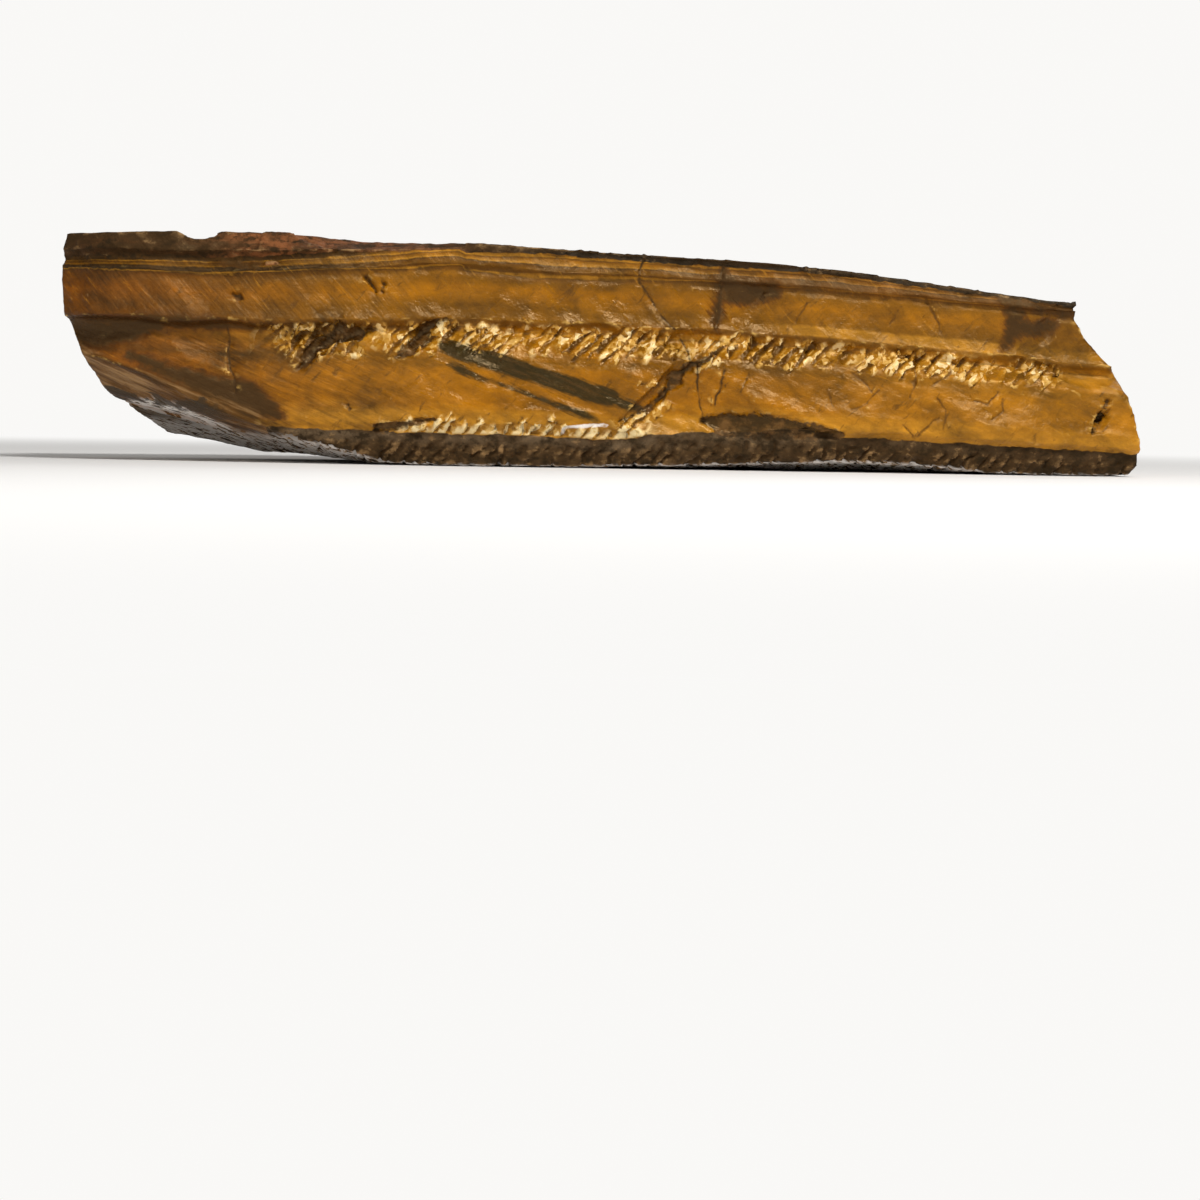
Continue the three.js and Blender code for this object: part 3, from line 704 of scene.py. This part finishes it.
def hackle_colours(add, c, fibre, on, here, sizes):
    """Hackle: plates of paler fibre and painted light where they stand up, painted shadow brown in the gaps.
    """
    bed, shelf = on.bed, on.shelf
    chance, plate = hackle_plates(add, here, sizes.hackle_pitch / MM)
    facets = small_facets(add, here)
    # Painted shadow: the gaps between the plates are painted brown
    gap = add("times", add("fade", plate, 0.1, 0.4, 0.9, 0), add("fade", bed, 1.05, 1.2, 0.4, 1))
    fibre = add("tint", add("times", gap, shelf), fibre, c.umber)
    # Paleness of the plates: partly broken fibre, partly painted light on their raised sides
    bright = add("plus", add("times", chance, 0.3), add("times", on.blot, 0.9))
    bright = add("plus", add("times", facets, 0.6), bright)
    bright = add("times", bright, add("fade", plate, 0.1, 0.5, 0.5, 1))
    # Painted highlight: the splinters at the foot are painted brighter
    bright = add("plus", bright, add("fade", bed, 1.05, 1.2, 0.5, 0))
    # The palest plates get a painted glint
    paler = ((0.6, 1.0, 1.0, c.honey), (0.8, 1.12, 1.0, c.pale_gold), (1.02, 1.26, 0.9, c.splinter))
    for low, high, most, shade in paler:
        lit = add("times", add("fade", bright, low, high, 0, most), shelf)
        fibre = add("tint", lit, fibre, shade)
    return fibre, facets


def stained_fibre(add, c, fibre, on):
    """Brown stains with dark cores, the greenish streak and the bruised bevel on the fibre."""
    streak = on.streak
    ragged = add("plus", swing(add, on.speck, 3.5), on.stain)
    ragged = add("plus", ragged, swing(add, streak, 3.0))
    ragged = add("plus", ragged, swing(add, on.blot, 4.0))
    fibre = add("tint", add("fade", ragged, -1.2, 0.9), fibre, c.stain, blend_type="MULTIPLY")
    fibre = add("tint", add("fade", ragged, -0.5, 1.1, 0, 0.9), fibre, c.umber)
    fibre = add("tint", add("fade", ragged, 0.2, 1.5, 0, 0.75), fibre, c.dark_umber)
    inner = add("tint", add("fade", streak, 0.5, 0.68, 0, 0.25), c.hawk, c.broken)
    feather = add("plus", add("times", add("plus", streak, -0.4), 2.4), on.hawk)
    fibre = add("tint", add("fade", feather, -0.3, 0.7, 0, 0.95), fibre, inner)
    bruised = [(0.36, c.dark_umber), (0.46, c.umber), (0.52, c.broken), (0.64, c.tan)]
    bruise = add("ramp", on.scuff, stops=bruised)
    return add("tint", add("times", on.bevel, 0.9), fibre, bruise)


def skin_colours(add, c, on, x):
    """Rock skin: brown below, brown and rusty at the left of the top and nearly black at its right."""
    bed, edge, speck, mottle = on.bed, on.edge, on.speck, on.mottle
    frayed = add("plus", add("times", mottle, 40.0), swing(add, on.blot, 60.0))
    rust = add("fade", add("plus", x, frayed), *RUST_END, 1, 0)
    capped = add("fade", add("plus", x, add("times", mottle, 16.0)), *CAP_END, 1, 0)
    upper = add("tint", rust, c.ironstone, add("tint", capped, c.red_rock, c.cap))
    greyer = add("fade", add("plus", bed, add("times", mottle, 0.8)), 0.8, 1.3, 0, 0.8)
    lower = add("tint", on.dark_wall, add("tint", greyer, c.wall_rock, c.grey_rock), c.dark_umber)
    skin = add("tint", add("fade", bed, 2.0, 2.5), lower, upper)

    # Dark blots, pits and cuts, tan spots, and dark layers in the cap
    skin = add("tint", add("fade", on.blot, 0.34, 0.6, 0.8, 0), skin, c.dark_umber)
    skin = add("tint", add("fade", speck, 0.36, 0.54, 0.9, 0), skin, c.pitch)
    skin = add("tint", add("fade", speck, 0.58, 0.72, 0, 0.55), skin, c.tan)
    skin = add("tint", add("times", on.cut, 0.95), skin, c.dark_umber)
    layer = add("times", add("fade", on.drape, 0.36, 0.5, 0.75, 0), add("fade", bed, 3.9, 4.0))
    skin = add("tint", layer, skin, c.dark_umber)

    # Painted highlight: ridges are painted tan, less so on the black top; painted shade: grooves are dark
    ridge_highlight = add("times", add("fade", edge, 0.04, 0.25, 0, 0.7), add("fade", speck, 0.45, 0.6))
    fresh = add("times", add("fade", bed, 3.4, 3.7), on.black_top)
    skin = add("tint", add("times", ridge_highlight, add("fade", fresh, 0, 1, 1, 0)), skin, c.tan)
    return add("tint", add("fade", edge, -0.03, -0.2, 0, 0.7), skin, c.dark_umber)


def pitted(add, c, shade, on):
    """Hollows dull brown, darker at the right, partly painted shade; dark cracks, fainter there; white quartz
    rim.
    """
    speck = on.speck
    pit = add("plus", swing(add, speck, 4.5), on.hollow)
    pit = add("plus", pit, swing(add, on.blot, 1))
    pit = add("plus", pit, add("times", swing(add, on.scuff, 6.0), on.bevel))
    # The hollows' dark brown and black floors: partly broken rock, partly painted shade in the recess
    pit_floor = add("tint", on.black_pits, c.dark_umber, c.pitch)
    pit_shade = add("tint", add("fade", speck, 0.46, 0.66, 0, 0.75), pit_floor, c.broken)
    pit_shade = add("tint", on.corner_pits, pit_shade, c.ironstone)
    shade = add("tint", add("fade", pit, -0.25, 0.5, 0, 0.92), shade, pit_shade)
    bent = add("plus", on.crack, swing(add, on.drift, 1.9))
    line = add("times", add("fade", add("span", bent), 0, 0.45, 1, 0), on.near)
    line = add("times", line, add("fade", speck, 0.36, 0.6, 0.15, 0.9))
    shade = add("tint", line, shade, add("tint", on.faint_cracks, c.dark_umber, c.sienna))
    rim = add("plus", swing(add, speck, 0.8), on.quartz)
    return add("tint", add("fade", rim, -0.2, 0.15, 0, 0.9), shade, c.bloom)


def tigers_eye(c, sizes):
    """Tiger's eye broken across its vein: silky fibre in gold and brown beds under a dull rock skin."""
    material = bpy.data.materials.new("Tigers eye quartz fibre")
    material.use_nodes = True
    tree = material.node_tree
    tree.nodes.clear()
    add = partial(put, tree)

    # What is on the slab at each point: its marks, the looks along it and the patterns
    on = SimpleNamespace()
    for name in SHADE_MARKS:
        setattr(on, name, add("ShaderNodeAttribute", attribute_name=name, out="Fac"))
    bed, edge, shelf = on.bed, on.edge, on.shelf
    place = add("grow", add("ShaderNodeTexCoord", out="Object"), 1 / MM)
    here = add("shift", place, (sizes.seed, sizes.seed, sizes.seed))
    x = add("axes", place, out="X")
    for name, limits in ALONG.items():
        setattr(on, name, add("fade", x, *limits))

    # Places of the patterns that lie along the fibre, the hackle, the bevel's grain or the scratches
    along = along_fibre(add, here, bed)[0]
    laid = {
        "streak": along,
        "silk": along,
        "fleck": add("lean", here, None, HACKLE_LEAN),
        "scuff": add("lean", place, None, BEVEL_GRAIN),
        "scratch": add("lean", place, None, SCRATCH_LEAN),
        "drift": here,
    }
    for name, (patch, detail, roughness, distortion) in PATTERNS.items():
        cells = add("cells", laid.get(name, place), patch)
        setattr(on, name, add("noise", cells, 1, detail, roughness, None, distortion))
    streak, speck, grit = on.streak, on.speck, on.grit
    fibre = bed_colours(add, c, on)

    # Fibre grain and painted sheen: streaks, blots and grit, and silky stripes painted on as sheen
    grain_and_painted_sheen = add("plus", swing(add, streak, on.brushed), swing(add, on.silk, 0.8))
    # Painted light and shade: the relief's crests are painted lighter and its hollows darker
    grain_and_painted_sheen = add("plus", grain_and_painted_sheen, add("times", on.relief, 0.4))
    grain_and_painted_sheen = add("plus", grain_and_painted_sheen, swing(add, on.blot, 1.5))
    grain_and_painted_sheen = add("plus", grain_and_painted_sheen, swing(add, grit, 0.3))
    fibre = add("grow", fibre, add("plus", grain_and_painted_sheen, 1))
    # Brown flecks and pale streaks in the fibre
    fibre = add("tint", add("fade", on.fleck, 0.58, 0.74, 0, 0.75), fibre, c.umber)
    fibre = add("tint", add("fade", streak, 0.6, 0.76, 0, 0.55), fibre, c.honey)
    fibre, facets = hackle_colours(add, c, fibre, on, here, sizes)
    fibre = stained_fibre(add, c, fibre, on)

    # Painted highlight on the fibre's edges, and painted shade in its grooves, less where the ledge is soft
    edge_highlight = add("times", add("fade", edge, 0.04, 0.2), add("fade", speck, 0.5, 0.62, 0, 0.8))
    edge_highlight = add("times", edge_highlight, add("fade", bed, 2.8, 3.0, 1, 0.1))
    fibre = add("tint", edge_highlight, fibre, c.pale_gold)
    groove_shade = add("times", add("fade", edge, -0.04, -0.22, 0, 0.65), add("fade", on.melt, 0.1, 0.8, 1, 0.35))
    fibre = add("tint", groove_shade, fibre, c.umber)
    in_skin = add("fade", on.crust, -0.12, 0.12)
    shade = add("tint", in_skin, fibre, skin_colours(add, c, on, x))

    # The underside and the scoured corner are painted pale grey with dark scratches
    # The pale grey is partly the rock's own and partly painted reflection of the floor below
    bloom = add("ramp", on.scratch, stops=[(0.42, c.ironstone), (0.455, c.tan), (0.49, c.bloom)])
    shade = add("tint", add("times", on.foot, 0.7), shade, bloom)
    shade = add("tint", on.facet, shade, bloom)
    shade = pitted(add, c, shade, on)

    # Gloss: the hackle is the silkiest, the bands and both ends are duller, and the skin is dull
    silky = add("plus", add("fade", streak, 0.3, 0.7, 0.34, 0.2), add("fade", edge, 0, 0.2, 0, -0.06))
    dull = add("plus", add("fade", bed, 2.85, 2.95, 0.06, 0.2), on.dull_left)
    dull = add("plus", dull, on.dull_right)
    silky = add("plus", silky, add("times", dull, add("fade", shelf, 0.1, 0.5, 1, 0)))
    gloss = add("mix", in_skin, silky, add("fade", speck, 0.3, 0.7, 0.85, 0.55))
    ripple = add("plus", add("times", grit, 0.25), add("times", speck, 1.4))
    ripple = add("plus", add("times", streak, add("times", on.brushed, 0.6)), ripple)
    ripple = add("plus", ripple, add("times", add("times", facets, 1.2), shelf))
    bump = add("ShaderNodeBump", BUMP_STRENGTH, BUMP_HEIGHT * MM, None, ripple)
    shader = add("ShaderNodeBsdfPrincipled", out=None)
    tree.links.new(shade, shader.inputs["Base Color"])
    tree.links.new(gloss, shader.inputs["Roughness"])
    tree.links.new(bump, shader.inputs["Normal"])
    shader.inputs["IOR"].default_value = QUARTZ_IOR
    shader.inputs["Specular IOR Level"].default_value = HIGHLIGHTS
    shader.inputs["Specular Tint"].default_value = c.glint
    add("ShaderNodeOutputMaterial", shader.outputs["BSDF"], out=None)
    return material


def plain_copy(piece):
    """Bakes a piece's modifiers into a plain mesh and removes them."""
    graph = bpy.context.evaluated_depsgraph_get()
    mesh = bpy.data.meshes.new_from_object(piece.evaluated_get(graph))
    piece.modifiers.clear()
    piece.data = mesh
    return mesh


def rows_of(items, name):
    """Rows of three numbers read from a mesh's vertices or normals."""
    rows = np.empty(3 * len(items))
    items.foreach_get(name, rows)
    return rows.reshape(-1, 3)


def keep_mark(mesh, name, values):
    """Stores one number for each vertex of a mesh, under a name."""
    mesh.attributes.new(name, "FLOAT", "POINT").data.foreach_set("value", values.astype(np.float32))


def bend_of(mesh):
    """How sharply a mesh bends at each vertex, above 0 on ridges and below 0 in grooves."""
    place = rows_of(mesh.vertices, "co")
    normal = rows_of(mesh.vertex_normals, "vector")
    pairs = np.empty(2 * len(mesh.edges), np.int32)
    mesh.edges.foreach_get("vertices", pairs)
    a, b = pairs.reshape(-1, 2).T
    run = place[b] - place[a]
    run /= np.linalg.norm(run, axis=1, keepdims=True) + 1e-9
    count = len(place)
    ends = np.bincount(a, minlength=count) + np.bincount(b, minlength=count)
    fall_a = -(run * normal[a]).sum(1)
    fall_b = (run * normal[b]).sum(1)
    bend = (np.bincount(a, fall_a, count) + np.bincount(b, fall_b, count)) / ends
    around = (np.bincount(a, bend[b], count) + np.bincount(b, bend[a], count)) / ends
    return (bend + around) / 2


def level_beds(mesh, to_level):
    """Stretches a mesh upright until its top line is level, or back again."""
    rows = rows_of(mesh.vertices, "co")
    share = height_of(BEDS[TOP], rows[:, 0] - DRAWN_FROM[0]) / LEVEL_TOP
    rows[:, 2] *= 1.0 / share if to_level else share
    mesh.vertices.foreach_set("co", rows.ravel())
    mesh.update()


class TIGERS_EYE_OT_slab(bpy.types.Operator):
    """Dresses the slab's solid with fine relief and its material"""
    bl_idname = "tigers_eye.slab"
    bl_label = "Slab"

    def execute(self, context):
        sizes = context.scene.tigers_eye_sizes
        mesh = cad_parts[NODE].data.copy()
        mesh.transform(Matrix.Scale(1 / MM, 4))
        work = bmesh.new()
        work.from_mesh(mesh)
        bmesh.ops.remove_doubles(work, verts=work.verts, dist=MERGE)
        work.to_mesh(mesh)
        work.free()
        mesh.materials.clear()
        slab = bpy.data.objects.new("tigers_eye_slab", mesh)
        context.scene.collection.objects.link(slab)

        # The even cells lie along the beds, so that the long thin edges come out clean
        level_beds(mesh, to_level=True)
        remesh = slab.modifiers.new("Even cells", "REMESH")
        remesh.mode = "VOXEL"
        remesh.voxel_size = sizes.cell / MM
        melt = slab.modifiers.new("Melt facets", "SMOOTH")
        melt.iterations = sizes.smoothing
        mesh = plain_copy(slab)
        level_beds(mesh, to_level=False)
        marks = marks_of(rows_of(mesh.vertices, "co"), rows_of(mesh.vertex_normals, "vector"))
        for name, values in marks.items():
            keep_mark(mesh, name, values)

        # The ledge is softened in four strengths
        ledge = slab.vertex_groups.new(name="ledge")
        for share in (0.25, 0.5, 0.75, 1.0):
            ledge.add(np.flatnonzero(marks["melt"] > share - 0.125).tolist(), share, "REPLACE")
        soften = slab.modifiers.new("Soften the ledge", "SMOOTH")
        soften.vertex_group = ledge.name
        soften.iterations = sizes.softening

        material = tigers_eye(context.scene.tigers_eye_colours, sizes)
        relief = slab.modifiers.new("Relief", "NODES")
        relief.node_group = relief_tree(material)
        for item in relief.node_group.interface.items_tree:
            if item.name in RELIEF_INPUTS:
                relief[item.identifier] = getattr(sizes, item.name) / MM
            elif item.name == "seed":
                relief[item.identifier] = float(sizes.seed)

        # The mesh is thinned to its count, a little more away from the front, and kept in the solid's box
        away = slab.vertex_groups.new(name="away from the front")
        away.add(np.flatnonzero(marks["front"] < 0.5).tolist(), 1.0, "REPLACE")
        away.add(np.flatnonzero(marks["front"] >= 0.5).tolist(), 0.5, "REPLACE")
        thin = slab.modifiers.new("Thin", "DECIMATE")
        thin.vertex_group = away.name
        thin.vertex_group_factor = THIN_BEHIND
        thin.ratio = min(1.0, sizes.triangles / (2 * len(mesh.polygons)))
        mesh = plain_copy(slab)
        low, high = (np.array(corner) for corner in CAD_BOX)
        mesh.vertices.foreach_set("co", np.clip(rows_of(mesh.vertices, "co") * MM, low, high).ravel())
        mesh.shade_smooth()
        mesh.update()
        keep_mark(mesh, "edge", bend_of(mesh))

        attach(slab, "root")
        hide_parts(NODE)
        return {"FINISHED"}


def area_light(scene, name, power):
    """A soft rectangular light at its place, turned to the slab."""
    place, size = LIGHTS[name]
    light = bpy.data.lights.new(name, "AREA")
    light.shape = "RECTANGLE"
    light.size, light.size_y = size
    light.energy = power
    lamp = bpy.data.objects.new(name, light)
    lamp.location = place
    lamp.rotation_euler = (Vector(LIGHT_TARGET) - Vector(place)).to_track_quat("-Z", "Y").to_euler()
    scene.collection.objects.link(lamp)


def pale_paper(stage):
    """Matt paper: pale, even and without gloss, glowing as the backdrop where it runs out to it."""
    material = bpy.data.materials.new("Pale matt paper")
    material.use_nodes = True
    tree = material.node_tree
    shader = tree.nodes["Principled BSDF"]
    shader.inputs["Base Color"].default_value = stage.floor
    shader.inputs["Roughness"].default_value = PAPER_ROUGHNESS
    shader.inputs["Specular IOR Level"].default_value = PAPER_HIGHLIGHTS
    place = put(tree, "ShaderNodeTexCoord", out="Object")
    away = put(tree, "ShaderNodeVectorMath", place, operation="LENGTH")
    far = put(tree, "fade", away, GLOW_FROM, GLOW_TO)
    light = put(tree, "ShaderNodeEmission", stage.white, stage.backdrop)
    mixed = put(tree, "ShaderNodeMixShader", far, shader.outputs["BSDF"], light)
    tree.links.new(mixed, tree.nodes["Material Output"].inputs["Surface"])
    return material


class TIGERS_EYE_OT_stage(bpy.types.Operator):
    """Makes the pale floor, the soft lights and the camera"""
    bl_idname = "tigers_eye.stage"
    bl_label = "Stage"

    def execute(self, context):
        scene = context.scene
        stage = scene.tigers_eye_stage
        mesh = bpy.data.meshes.new("floor")
        corners = [(x * FLOOR_REACH, y * FLOOR_REACH, 0) for x, y in ((-1, -1), (1, -1), (1, 1), (-1, 1))]
        mesh.from_pydata(corners, [], [(0, 1, 2, 3)])
        mesh.materials.append(pale_paper(stage))
        floor = bpy.data.objects.new("floor", mesh)
        scene.collection.objects.link(floor)

        area_light(scene, "softbox", stage.key)
        area_light(scene, "fill", stage.fill)
        area_light(scene, "rear", stage.rear)

        world = bpy.data.worlds.new("studio")
        world.use_nodes = True
        air = world.node_tree
        seen = put(air, "ShaderNodeLightPath", out="Is Camera Ray")
        strength = put(air, "ShaderNodeMapRange", seen, 0, 1, stage.sky, stage.backdrop)
        air.links.new(strength, air.nodes["Background"].inputs["Strength"])
        air.nodes["Background"].inputs["Color"].default_value = stage.white
        scene.world = world
        scene.view_settings.view_transform = "Standard"

        camera = bpy.data.cameras.new("camera")
        pixels = stage.distance / (stage.scale * MM)
        camera.lens = camera.sensor_width * pixels / FRAME_SIDE
        camera.clip_start = NEAREST
        eye = bpy.data.objects.new("camera", camera)
        front = CAD_BOX[0][1]
        drop = math.atan2(stage.eye, stage.distance)
        pitch = drop + math.atan2(FRAME_SIDE / 2 - ORIGIN_PIXEL[1], pixels)
        offset = (FRAME_SIDE / 2 - ORIGIN_PIXEL[0]) * stage.scale * MM
        eye.location = (offset, front - stage.distance, stage.eye)
        tilt = Euler((math.pi / 2 - pitch, 0, 0)).to_matrix() @ Euler((0, 0, stage.roll)).to_matrix()
        eye.rotation_euler = tilt.to_euler()
        scene.collection.objects.link(eye)
        scene.camera = eye
        return {"FINISHED"}


class TIGERS_EYE_PT_panel(bpy.types.Panel):
    """The slab's sizes and colours, and the steps that make it"""
    bl_label = "Tiger's eye slab"
    bl_idname = "TIGERS_EYE_PT_panel"
    bl_space_type = "VIEW_3D"
    bl_region_type = "UI"
    bl_category = "Tiger's eye"

    def draw(self, context):
        for kept in GROUPS:
            group = getattr(context.scene, kept)
            box = self.layout.box()
            for name in group.__annotations__:
                box.prop(group, name)
        for step in (TIGERS_EYE_OT_slab, TIGERS_EYE_OT_stage):
            self.layout.operator(step.bl_idname)


# The scene's settings by name, and all the classes that Blender is told of
GROUPS = {
    "tigers_eye_sizes": SlabSizes,
    "tigers_eye_colours": SlabColours,
    "tigers_eye_stage": StageSettings,
}
CLASSES = (*GROUPS.values(), TIGERS_EYE_OT_slab, TIGERS_EYE_OT_stage, TIGERS_EYE_PT_panel)


def register():
    for kind in CLASSES:
        bpy.utils.register_class(kind)
    for name, kind in GROUPS.items():
        setattr(bpy.types.Scene, name, PointerProperty(type=kind))


def unregister():
    for name in GROUPS:
        delattr(bpy.types.Scene, name)
    for kind in reversed(CLASSES):
        bpy.utils.unregister_class(kind)


def main():
    register()
    bpy.ops.tigers_eye.slab()
    bpy.ops.tigers_eye.stage()


if __name__ == "__main__":
    main()
